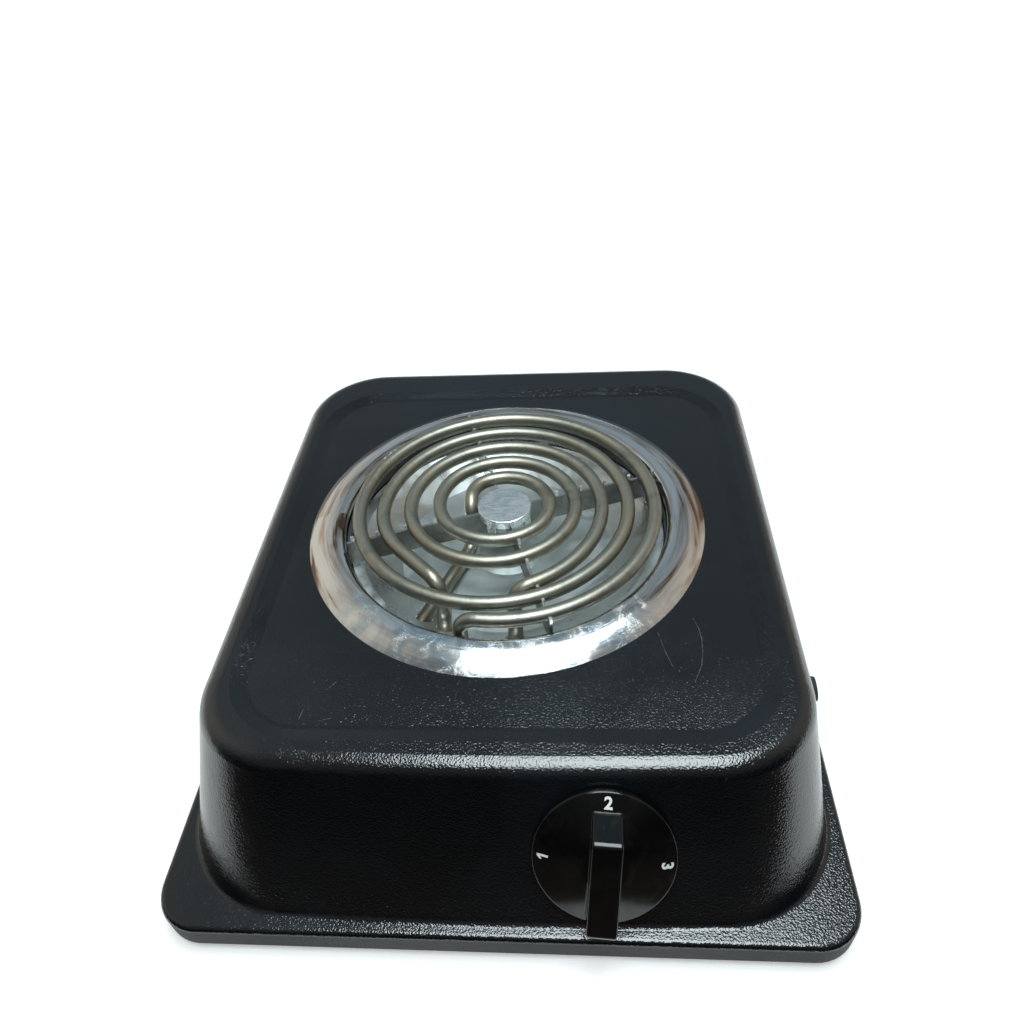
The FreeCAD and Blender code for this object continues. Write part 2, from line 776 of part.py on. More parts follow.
# Base plate with two rows of vent slots
plate = prism(outline(flange_half_w - sheet - plate_fit, flange_front + sheet + plate_fit,
                      flange_back - sheet - plate_fit, flange_corner_r - sheet - plate_fit, plate_z), plate_t)
vent = block(-vent_w / 2, vent_w / 2, -vent_l / 2 + vent_w / 2, vent_l / 2 - vent_w / 2, plate_z, plate_top)
for end in (-1, 1):
    vent = vent.fuse(rod(vent_w / 2, plate_z, plate_top, 0, end * (vent_l / 2 - vent_w / 2)))
for k in range(vent_count):
    for y in (0.0, vent_y):
        opening = vent.copy()
        opening.translate(burner + Vector((k - (vent_count - 1) / 2) * vent_pitch, y, 0))
        plate = plate.cut(opening)
for at in leg_screws:
    plate = plate.cut(rod(screw_r + screw_fit, plate_z - plate_t, plate_top + plate_t, at.x, at.y))

# Feet, their screws, and the brackets in the corners of the flange that the screws hold
foot_places = [Vector(sx * (flange_half_w - foot_inset), y, 0)
               for y in (flange_front + foot_inset, flange_back - foot_inset) for sx in (-1, 1)]
bracket_top_z = flange_z - sheet
tab_top = plate_top + bracket_t
for k, at in enumerate(foot_places):
    number = k + 1
    foot = Part.makeCone(foot_bottom_r, foot_top_r, plate_z)
    foot = foot.makeFillet(foot_edge_round, level_edges(foot, 0.0))
    foot = foot.cut(rod(foot_sink_r, 0, foot_sink_h)).cut(rod(screw_r + screw_fit, 0, plate_z))
    foot.translate(at)
    save("rubber_foot_%d" % number, foot)
    piece = screw(foot_sink_h, tab_top + bracket_screw_out, screw_r, screw_head_r, screw_head_h)
    piece.translate(at)
    save("foot_screw_%d" % number, piece)
    side = 1 if at.x > 0 else -1
    half = bracket_w / 2
    profile = polygon([
        Vector(-half, -half, plate_top), Vector(half, -half, plate_top), Vector(half, -half, tab_top),
        Vector(-half + bracket_t, -half, tab_top), Vector(-half + bracket_t, -half, bracket_top_z - bracket_t),
        Vector(half, -half, bracket_top_z - bracket_t), Vector(half, -half, bracket_top_z),
        Vector(-half, -half, bracket_top_z),
    ])
    tab = Part.Face(profile).extrude(Vector(0, bracket_w, 0)).cut(rod(screw_r + screw_fit, plate_top, tab_top))
    if side < 0:
        tab.rotate(Vector(), up, 180)
    tab.translate(at)
    save("corner_bracket_%d" % number, tab)
    plate = plate.cut(rod(screw_r + screw_fit, plate_z, plate_top, at.x, at.y))

# Cord gland: a bush with a groove for the wall, two flanges and a short tapered nose
gland_neck = gland_hole_r - gland_fit
gland = revolve(polygon([
    Vector(gland_bore_r, 0, -sheet - gland_fit - gland_flange_t),
    Vector(gland_flange_r, 0, -sheet - gland_fit - gland_flange_t),
    Vector(gland_flange_r, 0, -sheet - gland_fit),
    Vector(gland_neck, 0, -sheet - gland_fit),
    Vector(gland_neck, 0, gland_fit),
    Vector(gland_flange_r, 0, gland_fit),
    Vector(gland_flange_r, 0, gland_fit + gland_flange_t),
    Vector(gland_nose_r + gland_nose_taper, 0, gland_fit + gland_flange_t),
    Vector(gland_nose_r, 0, gland_fit + gland_flange_t + gland_nose_l),
    Vector(gland_bore_r, 0, gland_fit + gland_flange_t + gland_nose_l),
]))
save("cord_gland", placed(gland, on_right))

# Mains block with brass screws in wells, the cord clamp and the earth screw with its tag
mains = block(-block_w / 2, block_w / 2, -block_d / 2, block_d / 2, plate_top, plate_top + block_h)
upright_edges = [e for e in mains.Edges if abs(e.BoundBox.ZLength - block_h) < 0.001]
mains = mains.makeFillet(block_edge_round, upright_edges)
way_pitch = block_w / block_ways
block_top = plate_top + block_h
for k in range(block_ways):
    x = (k - (block_ways - 1) / 2) * way_pitch
    mains = mains.cut(rod(block_well_r, block_top - block_well_h, block_top, x))
    brass = rod(block_screw_r, block_top - block_well_h, block_top - block_well_h / 2, x)
    slot_z = block_top - block_well_h / 2 - block_slot_h
    brass = brass.cut(block(x - block_well_r, x + block_well_r, -block_slot_w / 2, block_slot_w / 2,
                            slot_z, block_top))
    brass.translate(Vector(block_x, block_y, 0))
    save("block_screw_%d" % (k + 1), brass)
mains.translate(Vector(block_x, block_y, 0))
save("mains_block", mains)

clamp_profile = rod(clamp_arch_r + clamp_t, -clamp_w / 2, clamp_w / 2)
clamp_profile = clamp_profile.fuse(block(-clamp_l / 2, clamp_l / 2, 0, clamp_t, -clamp_w / 2, clamp_w / 2))
clamp_profile = clamp_profile.cut(rod(clamp_arch_r, -clamp_w, clamp_w))
clamp_profile = clamp_profile.cut(block(-clamp_l, clamp_l, -clamp_l, 0, -clamp_w, clamp_w))
clamp = placed(clamp_profile, FreeCAD.Placement(Vector(clamp_x, clamp_y, plate_top), along_y))
clamp_screws = [Vector(clamp_x + side * (clamp_l / 2 - screw_head_r), clamp_y, 0) for side in (-1, 1)]
for k, at in enumerate(clamp_screws):
    clamp = clamp.cut(rod(screw_r + screw_fit, plate_top, plate_top + clamp_t, at.x, at.y))
    plate = plate.cut(rod(screw_r + screw_fit, plate_z, plate_top, at.x, at.y))
    piece = screw(0, plate_t + clamp_t + screw_past, screw_r, screw_head_r, screw_head_h)
    piece.rotate(Vector(), Vector(1, 0, 0), 180)
    piece.translate(at + Vector(0, 0, plate_top + clamp_t))
    save("clamp_screw_%d" % (k + 1), piece)
save("cord_clamp", clamp.removeSplitter())

tag = block(-earth_head_r, tag_l, -earth_head_r, earth_head_r, plate_top, plate_top + tag_t)
tag = tag.makeFillet(tag_corner_r, [e for e in tag.Edges if abs(e.BoundBox.ZLength - tag_t) < 0.001])
tag = tag.cut(rod(screw_r + screw_fit, plate_top, plate_top + tag_t))
tag.translate(Vector(earth_x, earth_y, 0))
save("earth_tag", tag)
earth = screw(0, earth_h, screw_r, earth_head_r, screw_head_h)
earth.rotate(Vector(), Vector(1, 0, 0), 180)
earth.translate(Vector(earth_x, earth_y, plate_top + tag_t))
save("earth_screw", earth)
plate = plate.cut(rod(screw_r + screw_fit, plate_z, plate_top, earth_x, earth_y))
save("base_plate", plate)

# Heat switch in the front wall's frame: plate, body with a cam chamber, cover, contacts, tabs and screws
plate_front = -sheet - switch_gap
body_front = plate_front - switch_plate_t
body_back = body_front - switch_d
chamber_front = body_front - switch_front
cover_back = body_back - switch_cover_t
switch_plate = block(-switch_plate_w / 2, switch_plate_w / 2, -switch_h / 2, switch_h / 2,
                     body_front, plate_front)
switch_plate = switch_plate.cut(rod(shaft_r + shaft_fit, body_front, plate_front))
for side in (-1, 1):
    switch_plate = switch_plate.cut(
        rod(switch_screw_r + screw_fit, body_front, plate_front, side * switch_screw_x))
save("switch_plate", placed(switch_plate, on_front))

switch_body = block(-switch_w / 2, switch_w / 2, -switch_h / 2, switch_h / 2, body_back, body_front)
deep_edges = [e for e in switch_body.Edges if abs(e.BoundBox.ZLength - switch_d) < 0.001]
switch_body = switch_body.makeFillet(switch_corner_r, deep_edges)
switch_body = switch_body.cut(
    block(-switch_w / 2 + switch_wall, switch_w / 2 - switch_wall, -switch_h / 2 + switch_wall,
          switch_h / 2 - switch_wall, body_back, chamber_front))
switch_body = switch_body.cut(rod(shaft_r + shaft_fit, chamber_front, body_front))
save("switch_body", placed(switch_body, on_front))

switch_cover = block(-switch_w / 2, switch_w / 2, -switch_h / 2, switch_h / 2, cover_back, body_back)
switch_cover = switch_cover.cut(rod(shaft_r + shaft_fit, body_back - bearing_l, body_back))
tab_places = [Vector(sx * tab_x, sy * tab_y, 0) for sy in (-1, 1) for sx in (-1, 1)]
for k, at in enumerate(tab_places):
    tab = block(-tab_w / 2, tab_w / 2, -tab_t / 2, tab_t / 2, cover_back - tab_l, body_back)
    tab = tab.makeChamfer(tab_t / 3, level_edges(tab, cover_back - tab_l))
    hole_at = FreeCAD.Placement(Vector(0, 0, cover_back - tab_l / 2), along_y)
    tab = tab.cut(placed(rod(tab_hole_r, -tab_t, tab_t), hole_at))
    tab.translate(at)
    slot_room = block(-tab_w / 2 - clip_fit, tab_w / 2 + clip_fit, -tab_t / 2 - clip_fit, tab_t / 2 + clip_fit,
                      cover_back, body_back)
    slot_room.translate(at)
    switch_cover = switch_cover.cut(slot_room)
    save("switch_tab_%d" % (k + 1), placed(tab, on_front))
save("switch_cover", placed(switch_cover, on_front))

for k, side in enumerate((-1, 1)):
    reach_in = switch_gap + sheet + switch_plate_t + screw_past
    piece = screw(0, reach_in, switch_screw_r, switch_head_r, switch_head_h)
    piece.rotate(Vector(), Vector(1, 0, 0), 180)
    piece.translate(Vector(side * switch_screw_x, 0, switch_gap / 2))
    save("switch_screw_%d" % (k + 1), placed(piece, on_front))

shaft_tip = knob_gap + shaft_in_knob
shaft = rod(shaft_r, body_back - bearing_l + switch_gap, shaft_tip)
flat_from = knob_gap + shaft_flat_start
shaft = shaft.cut(block(-shaft_r, shaft_r, shaft_flat, shaft_r, flat_from, shaft_tip))

cam_back = body_back + (switch_d - switch_front - cam_w) / 2
cam = rod(cam_r, cam_back, cam_back + cam_w)
for k in range(3):
    lobe = rod(cam_lift * 2, cam_back, cam_back + cam_w, cam_r - cam_lift)
    lobe.rotate(Vector(), up, 45.0 + 90.0 * k)
    cam = cam.fuse(lobe)
cam = cam.cut(rod(shaft_r + cam_fit, cam_back, cam_back + cam_w)).removeSplitter()
cam_reach = cam_r + cam_lift

contact_y = cam_reach + contact_clear
for k, x in enumerate((-tab_x, 0.0, tab_x)):
    leaf = block(x - contact_w / 2, x + contact_w / 2, contact_y, contact_y + contact_t,
                 body_back, chamber_front)
    save("contact_spring_%d" % (k + 1), placed(leaf, on_front))

# Knob: a hollow coned skirt, a hub on the shaft's flat, and the grip bar
knob_low = knob_gap
edge_top = knob_low + knob_edge_h
inside_r = knob_r - knob_skirt_w
knob = revolve(polygon([
    Vector(0, 0, knob_low),
    Vector(knob_hub_r, 0, knob_low),
    Vector(knob_hub_r, 0, knob_cone_h - knob_wall),
    Vector(knob_cone_r, 0, knob_cone_h - knob_wall),
    Vector(inside_r, 0, edge_top - knob_wall / 2),
    Vector(inside_r, 0, knob_low),
    Vector(knob_r, 0, knob_low),
    Vector(knob_r, 0, edge_top),
    Vector(knob_cone_r, 0, knob_cone_h),
    Vector(0, 0, knob_cone_h),
]))
knob = knob.makeFillet(knob_edge_round, level_edges(knob, edge_top))
grip = Part.Face(polygon([
    Vector(-grip_half_w, grip_top, edge_top),
    Vector(-grip_half_w, grip_top, grip_end_h),
    Vector(-grip_half_w, grip_ridge, grip_h),
    Vector(-grip_half_w, grip_bottom, grip_h),
    Vector(-grip_half_w, grip_bottom, grip_foot_h),
    Vector(-grip_half_w, 0, edge_top),
])).extrude(Vector(2 * grip_half_w, 0, 0))
ridge_edges = [e for e in level_edges(grip, grip_h) if e.BoundBox.YLength < 0.001]
grip = grip.makeFillet(grip_ridge_round, ridge_edges)
grip = grip.makeFillet(grip_end_round, level_edges(grip, grip_end_h))
side_edges = [e for e in grip.Edges if e.BoundBox.XLength < 0.001 and e.BoundBox.ZMax > knob_cone_h]
grip = grip.makeFillet(grip_edge_round, side_edges)
knob = knob.fuse(grip)
clip_room = clip_t + 2 * clip_fit
bore = rod(shaft_r + shaft_fit, 0, shaft_tip + shaft_fit)
bore = bore.cut(block(-shaft_r * 2, shaft_r * 2, shaft_flat + clip_room, shaft_r * 2, flat_from, shaft_tip * 2))
clip_slot = block(-clip_w / 2 - clip_fit, clip_w / 2 + clip_fit, 0, shaft_flat + clip_room,
                  flat_from, flat_from + clip_l)
knob = knob.cut(bore).cut(clip_slot).removeSplitter()
clip = block(-clip_w / 2, clip_w / 2, shaft_flat + clip_fit, shaft_flat + clip_fit + clip_t, flat_from,
             flat_from + clip_l - clip_fit)
for name, shape in (("switch_shaft", shaft), ("switch_cam", cam), ("control_knob", knob), ("knob_clip", clip)):
    shape.rotate(Vector(), up, knob_rest_deg)
    save(name, placed(shape, on_front))

whole = Part.makeCompound(list(built.values())).optimalBoundingBox()
print("box x %.2f %.2f  y %.2f %.2f  z %.2f %.2f" % (
    whole.XMin, whole.XMax, whole.YMin, whole.YMax, whole.ZMin, whole.ZMax))
print("knob axis at", knob_origin, "out", on_front.Rotation.multVec(up))
print("nodes", len(built))
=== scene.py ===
"""Single coil table stove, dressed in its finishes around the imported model."""

import bmesh
import bpy
import json
import math
from mathutils import Matrix, Vector


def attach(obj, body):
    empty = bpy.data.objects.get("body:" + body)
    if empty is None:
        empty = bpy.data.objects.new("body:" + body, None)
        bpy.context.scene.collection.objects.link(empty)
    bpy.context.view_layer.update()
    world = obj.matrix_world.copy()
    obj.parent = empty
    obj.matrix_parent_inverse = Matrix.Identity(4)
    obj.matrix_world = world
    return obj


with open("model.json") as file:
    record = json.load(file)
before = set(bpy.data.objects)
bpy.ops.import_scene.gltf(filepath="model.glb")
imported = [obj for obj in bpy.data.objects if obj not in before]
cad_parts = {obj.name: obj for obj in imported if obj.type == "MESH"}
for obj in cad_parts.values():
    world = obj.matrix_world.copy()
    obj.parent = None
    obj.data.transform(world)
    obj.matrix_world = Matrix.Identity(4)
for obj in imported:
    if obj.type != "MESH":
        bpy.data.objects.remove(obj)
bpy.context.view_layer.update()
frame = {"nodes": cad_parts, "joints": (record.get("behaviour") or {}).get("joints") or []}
MM = 0.001

# Housing shell
# One deep-drawn sheet of steel, sprayed with a black enamel that dries to a fine leather grain.
# The grain sparkles where it curves towards the light; the top is hazed and scratched, the lip rubbed dull.


def feed(tree, socket, value):
    """Link an output to a socket, or set the socket to a plain value."""
    if isinstance(value, bpy.types.NodeSocket):
        tree.links.new(value, socket)
    else:
        socket.default_value = value


def add(tree, kind, settings=None, **inputs):
    """Add a shader node; its inputs are plain values or outputs to link."""
    node = tree.nodes.new(kind)
    for name, value in (settings or {}).items():
        setattr(node, name, value)
    for name, value in inputs.items():
        feed(tree, node.inputs[name.replace("_", " ")], value)
    return node


def math_node(tree, operation, *values):
    node = add(tree, "ShaderNodeMath", {"operation": operation})
    for socket, value in zip(node.inputs, values):
        feed(tree, socket, value)
    return node.outputs[0]


def vector_node(tree, operation, *vectors):
    node = add(tree, "ShaderNodeVectorMath", {"operation": operation})
    for socket, value in zip(node.inputs, vectors):
        feed(tree, socket, value)
    return node.outputs


def scaled(tree, vector, factor):
    node = add(tree, "ShaderNodeVectorMath", {"operation": "SCALE"}, Vector=vector, Scale=factor)
    return node.outputs["Vector"]


def noise(tree, place, **settings):
    return add(tree, "ShaderNodeTexNoise", Vector=place, **settings).outputs["Fac"]


def ramp(tree, value, low, high, to_low=0.0, to_high=1.0):
    """A smooth step from to_low at low to to_high at high."""
    node = add(tree, "ShaderNodeMapRange", {"interpolation_type": "SMOOTHSTEP"}, Value=value,
               From_Min=low, From_Max=high, To_Min=to_low, To_Max=to_high)
    return node.outputs["Result"]


def between(tree, mask, at_none, at_full):
    """A number that follows a mask from at_none to at_full."""
    return ramp(tree, mask, 0.0, 1.0, at_none, at_full)


MIX_FACTOR = 0
MIX_FIRST = 6
MIX_SECOND = 7
MIX_RESULT = 2


def blend_colour(tree, factor, first, second):
    node = add(tree, "ShaderNodeMix", {"data_type": "RGBA"})
    feed(tree, node.inputs[MIX_FACTOR], factor)
    for index, colour in ((MIX_FIRST, first), (MIX_SECOND, second)):
        feed(tree, node.inputs[index], (*colour, 1.0) if isinstance(colour, tuple) else colour)
    return node.outputs[MIX_RESULT]


def millimetres(tree):
    """Object coordinates in millimetres."""
    return scaled(tree, add(tree, "ShaderNodeTexCoord").outputs["Object"], 1.0 / MM)


def split(tree, vector):
    return add(tree, "ShaderNodeSeparateXYZ", Vector=vector).outputs


def effect(name, inputs, outputs):
    """A node group with its input and output nodes. Vectors start as None, numbers as their default."""
    group = bpy.data.node_groups.new(name, "ShaderNodeTree")
    for label, value in inputs.items():
        kind = "NodeSocketVector" if value is None else "NodeSocketFloat"
        socket = group.interface.new_socket(label, in_out="INPUT", socket_type=kind)
        if value is not None:
            socket.default_value = value
    for label in outputs:
        group.interface.new_socket(label, in_out="OUTPUT", socket_type="NodeSocketFloat")
    enter = group.nodes.new("NodeGroupInput").outputs
    leave = group.nodes.new("NodeGroupOutput").inputs
    return group, enter, leave


def use(tree, group, **inputs):
    node = tree.nodes.new("ShaderNodeGroup")
    node.node_tree = group
    for name, value in inputs.items():
        feed(tree, node.inputs[name], value)
    return node.outputs


def new_material(name, colour, roughness=0.5, metallic=0.0):
    material = bpy.data.materials.new(name)
    material.use_nodes = True
    tree = material.node_tree
    surface = tree.nodes["Principled BSDF"]
    surface.inputs["Base Color"].default_value = (*colour, 1.0)
    surface.inputs["Roughness"].default_value = roughness
    surface.inputs["Metallic"].default_value = metallic
    return material, tree, surface


def set_bump(tree, surface, height, depth_mm):
    bump = add(tree, "ShaderNodeBump", Height=height, Distance=depth_mm * MM, Strength=1.0)
    tree.links.new(bump.outputs["Normal"], surface.inputs["Normal"])


def dress(material, *names):
    for name in names:
        for slot in frame["nodes"][name].material_slots:
            slot.material = material


# Shared effect: a fine leather grain of low rounded pebbles
grain, enter, leave = effect("Leather grain", {"Place": None, "Pebble": 1.4}, ["Height"])
frequency = math_node(grain, "DIVIDE", 1.0, enter["Pebble"])
pebbles = noise(grain, enter["Place"], Scale=frequency, Detail=1.0, Roughness=0.55)
grain.links.new(pebbles, leave["Height"])

# Shared effect: soft blotches, as of wiped grease or haze
SMUDGE_EDGE = (-0.14, 0.18)
smudges, enter, leave = effect("Smudges", {"Place": None, "Size": 20.0, "Cover": 0.5}, ["Mask"])
spread = math_node(smudges, "DIVIDE", 1.0, enter["Size"])
cloud = noise(smudges, enter["Place"], Scale=spread, Detail=5.0, Roughness=0.62, Distortion=0.8)
threshold = math_node(smudges, "SUBTRACT", 1.0, enter["Cover"])
above = math_node(smudges, "SUBTRACT", cloud, threshold)
smudges.links.new(ramp(smudges, above, *SMUDGE_EDGE), leave["Mask"])

# Shared effect: one scratch, drawn as a worn line between two points
SCRATCH_WEAR = (0.35, 0.62)
SCRATCH_THINNEST = 0.15
SCRATCH_CORE = 0.35
stroke, enter, leave = effect("Scratch", {"Place": None, "Start": None, "End": None, "Width": 0.4}, ["Mask"])
run = vector_node(stroke, "SUBTRACT", enter["End"], enter["Start"])["Vector"]
reach = vector_node(stroke, "SUBTRACT", enter["Place"], enter["Start"])["Vector"]
along = vector_node(stroke, "DOT_PRODUCT", reach, run)["Value"]
length_2 = vector_node(stroke, "DOT_PRODUCT", run, run)["Value"]
share = add(stroke, "ShaderNodeClamp", Value=math_node(stroke, "DIVIDE", along, length_2)).outputs[0]
away = vector_node(stroke, "DISTANCE", reach, scaled(stroke, run, share))["Value"]
worn = noise(stroke, enter["Place"], Scale=0.7, Detail=3.0)
thinned = ramp(stroke, worn, *SCRATCH_WEAR, SCRATCH_THINNEST, 1.0)
width = math_node(stroke, "MULTIPLY", enter["Width"], thinned)
line = math_node(stroke, "DIVIDE", away, width)
stroke.links.new(ramp(stroke, line, SCRATCH_CORE, 1.0, 1.0, 0.0), leave["Mask"])

ENAMEL = (0.0019, 0.0027, 0.0036)
ENAMEL_HAZE = (0.0034, 0.0050, 0.0068)
ENAMEL_ROUGHNESS = (0.11, 0.17)
ENAMEL_IOR = 1.72
PEBBLE = 0.78
PEBBLE_DEPTH = 0.142
BARE_SCRATCH = (0.07, 0.075, 0.08)
PANEL_Z = 67.9
LIP_TOP = 15.5
LIP_FADE = 1.5
LIP_RUBBED = 0.62
SCRATCHES = [
    ((77.9, -45.4), (79.6, -51.0), 0.24), ((79.6, -51.0), (80.2, -57.0), 0.26),
    ((80.2, -57.0), (79.8, -63.4), 0.28), ((79.8, -63.4), (78.6, -69.6), 0.28),
    ((78.6, -69.6), (75.2, -77.4), 0.24), ((63.0, -53.3), (64.8, -61.4), 0.20),
    ((64.8, -61.4), (67.5, -70.3), 0.20), ((-75.9, -95.6), (-75.3, -91.5), 0.28),
    ((-69.3, -96.8), (-63.5, -95.0), 0.22), ((-68.3, -82.2), (-65.1, -78.4), 0.30),
    ((-110.1, -67.7), (-113.1, -34.9), 0.20),
]
enamel, tree, surface = new_material("black_enamel", ENAMEL)
place = millimetres(tree)
height = use(tree, grain, Place=place, Pebble=PEBBLE)["Height"]
haze = use(tree, smudges, Place=place, Size=70.0, Cover=0.5)["Mask"]
colour = blend_colour(tree, haze, ENAMEL, ENAMEL_HAZE)
scratched = None
for start, end, scratch_width in SCRATCHES:
    ends = {"Start": (*start, PANEL_Z), "End": (*end, PANEL_Z)}
    mask = use(tree, stroke, Place=place, Width=scratch_width, **ends)["Mask"]
    scratched = mask if scratched is None else math_node(tree, "MAXIMUM", scratched, mask)
tree.links.new(blend_colour(tree, scratched, colour, BARE_SCRATCH), surface.inputs["Base Color"])
rubbed = ramp(tree, split(tree, place)["Z"], LIP_TOP - LIP_FADE, LIP_TOP, LIP_RUBBED, 0.0)
roughness = math_node(tree, "ADD", between(tree, haze, *ENAMEL_ROUGHNESS), rubbed)
tree.links.new(roughness, surface.inputs["Roughness"])
surface.inputs["IOR"].default_value = ENAMEL_IOR
set_bump(tree, surface, height, PEBBLE_DEPTH)
dress(enamel, "housing_shell")

# Base plate, brackets and screws
# Zinc-plated sheet and screws, with the zinc's own spangle.
# The plate closes the housing from below, on brackets in the flange's corners.
ZINC = (0.56, 0.57, 0.58)
ZINC_DARK = (0.45, 0.46, 0.47)
ZINC_ROUGHNESS = (0.30, 0.46)


def numbered(name, count):
    return ["%s_%d" % (name, number) for number in range(1, count + 1)]


zinc, tree, surface = new_material("zinc_plate", ZINC, metallic=1.0)
spangle = add(tree, "ShaderNodeTexVoronoi", Vector=millimetres(tree), Scale=0.22).outputs["Color"]
flake = add(tree, "ShaderNodeSeparateColor", Color=spangle).outputs[0]
tree.links.new(blend_colour(tree, flake, ZINC, ZINC_DARK), surface.inputs["Base Color"])
tree.links.new(between(tree, flake, *ZINC_ROUGHNESS), surface.inputs["Roughness"])
dress(zinc, "base_plate", *numbered("corner_bracket", 4), *numbered("foot_screw", 4))
dress(zinc, "leg_bracket", *numbered("leg_bracket_screw", 2), *numbered("terminal_pin", 4))
dress(zinc, "switch_plate", *numbered("switch_screw", 2), "switch_shaft", "knob_clip")
dress(zinc, "earth_tag", "earth_screw", *numbered("clamp_screw", 2))

# Feet and cord gland
# Moulded black rubber, slightly bloomed and pored.
# Four feet are screwed under the plate, and the gland lines the cord's hole.
RUBBER = (0.016, 0.016, 0.016)
RUBBER_BLOOM = (0.035, 0.034, 0.033)
RUBBER_ROUGHNESS = 0.72
PORE_DEPTH = 0.05


def blotched(name, colour, blotch_colour, size, cover, roughness=0.5, metallic=0.0):
    """A material whose colour drifts between two tones in soft blotches. A pair as roughness drifts too."""
    material, tree, surface = new_material(name, colour, metallic=metallic)
    place = millimetres(tree)
    blotch = use(tree, smudges, Place=place, Size=size, Cover=cover)["Mask"]
    tree.links.new(blend_colour(tree, blotch, colour, blotch_colour), surface.inputs["Base Color"])
    if isinstance(roughness, tuple):
        roughness = between(tree, blotch, *roughness)
    feed(tree, surface.inputs["Roughness"], roughness)
    return material, tree, surface, place


rubber, tree, surface, place = blotched("black_rubber", RUBBER, RUBBER_BLOOM, size=6.0, cover=0.45,
                                        roughness=RUBBER_ROUGHNESS)
pores = noise(tree, place, Scale=2.5, Detail=2.0)
set_bump(tree, surface, pores, PORE_DEPTH)
dress(rubber, "cord_gland", *numbered("rubber_foot", 4))

# Trim ring
# A low domed ring pressed in sheet and chrome plated, laid loose over the burner's opening.
# Heat has tinted it in streaks round its sides and back; its front is scoured and smudged, and the smudges
# there are painted blue-grey, partly grease and partly a painted cool, dim reflection.
BURNER = (-3.2, 16.7, 0.0)
CHROME = (0.84, 0.83, 0.81)
CHROME_WARM = (0.62, 0.52, 0.45)
CHROME_SMUDGE_COOL_REFLECTION = (0.42, 0.52, 0.57)
HEAT_TINT = (0.20, 0.135, 0.10)
RING_FRONT = (-75.0, -35.0)
STREAKS_ROUND = 1.7
STREAKS_ACROSS = 0.34
STAINED = (0.46, 0.58)
BURNT = (0.57, 0.645)
STAIN_AT_FRONT = 0.15
HAIR_SPREAD = (0.35, 0.65)
HAIR_LEAST = 0.3
FILM_AT_BACK = 0.5
FILM_ROUGHNESS = (0.09, 0.46)
SCOURED_ROUGHNESS = 0.07
RING_WAVE_DEPTH = 0.24
chrome, tree, surface = new_material("chrome_trim", CHROME, metallic=1.0)
place = millimetres(tree)
from_middle = vector_node(tree, "SUBTRACT", place, BURNER)["Vector"]
sides = split(tree, from_middle)
angle = math_node(tree, "ARCTAN2", sides["Y"], sides["X"])
distance = vector_node(tree, "LENGTH", from_middle)["Value"]
round_ring = add(tree, "ShaderNodeCombineXYZ", X=math_node(tree, "MULTIPLY", angle, STREAKS_ROUND),
                 Y=math_node(tree, "MULTIPLY", distance, STREAKS_ACROSS)).outputs[0]
wavy = noise(tree, round_ring, Scale=1.0, Detail=3.0, Roughness=0.55, Distortion=0.5)
front = ramp(tree, sides["Y"], *RING_FRONT, 1.0, 0.0)
kept = between(tree, front, 1.0, STAIN_AT_FRONT)
stain = math_node(tree, "MULTIPLY", ramp(tree, wavy, *STAINED), kept)
burnt = math_node(tree, "MULTIPLY", ramp(tree, wavy, *BURNT), kept)
# Smudges at the front painted blue-grey: part grease, part painted cool reflection that dims the lamp's
# mirror image there.
smudge_and_cool_reflection = math_node(tree, "MULTIPLY", use(tree, smudges, Place=place, Size=15.0, Cover=0.52)["Mask"], front)
colour = blend_colour(tree, smudge_and_cool_reflection, CHROME, CHROME_SMUDGE_COOL_REFLECTION)
colour = blend_colour(tree, stain, colour, CHROME_WARM)
tree.links.new(blend_colour(tree, burnt, colour, HEAT_TINT), surface.inputs["Base Color"])
grease = use(tree, smudges, Place=place, Size=11.0, Cover=0.45)["Mask"]
hair = noise(tree, place, Scale=1.6, Detail=6.0, Roughness=0.7)
film = math_node(tree, "MULTIPLY", grease, ramp(tree, hair, *HAIR_SPREAD, HAIR_LEAST, 1.0))
film = math_node(tree, "MULTIPLY", film, between(tree, front, FILM_AT_BACK, 1.0))
scoured = between(tree, front, 0.0, SCOURED_ROUGHNESS)
roughness = math_node(tree, "ADD", between(tree, film, *FILM_ROUGHNESS), scoured)
tree.links.new(roughness, surface.inputs["Roughness"])
set_bump(tree, surface, wavy, RING_WAVE_DEPTH)
dress(chrome, "trim_ring")

# Reflector pan
# Bright rolled sheet, pressed to a shallow dish that throws the heat up.
# It rests on the collar's ledge under the coil, hazed by use, and darker and duller towards the middle.
PAN = (0.92, 0.96, 0.95)
PAN_HAZE = (0.78, 0.84, 0.83)
PAN_MIDDLE_DARK = (0.50, 0.56, 0.55)
PAN_MIDDLE = (BURNER[0], BURNER[1], 45.0)
PAN_DARK_SPAN = (30.0, 62.0)
PAN_ROUGHNESS = (0.27, 0.47)
MIDDLE_ROUGHNESS = 0.20
DENT_DEPTH = 0.4
pan, tree, surface = new_material("bright_pan", PAN, metallic=1.0)
place = millimetres(tree)
haze = use(tree, smudges, Place=place, Size=16.0, Cover=0.5)["Mask"]
colour = blend_colour(tree, haze, PAN, PAN_HAZE)
outwards = vector_node(tree, "DISTANCE", place, PAN_MIDDLE)["Value"]
# Darker and duller towards the middle, under the coil and cap.
towards_middle = ramp(tree, outwards, *PAN_DARK_SPAN, 1.0, 0.0)
tree.links.new(blend_colour(tree, towards_middle, colour, PAN_MIDDLE_DARK), surface.inputs["Base Color"])
matt = between(tree, towards_middle, 0.0, MIDDLE_ROUGHNESS)
roughness = math_node(tree, "ADD", between(tree, haze, *PAN_ROUGHNESS), matt)
tree.links.new(roughness, surface.inputs["Roughness"])
dents = noise(tree, place, Scale=0.09, Detail=1.0)
set_bump(tree, surface, dents, DENT_DEPTH)
dress(pan, "reflector_pan")

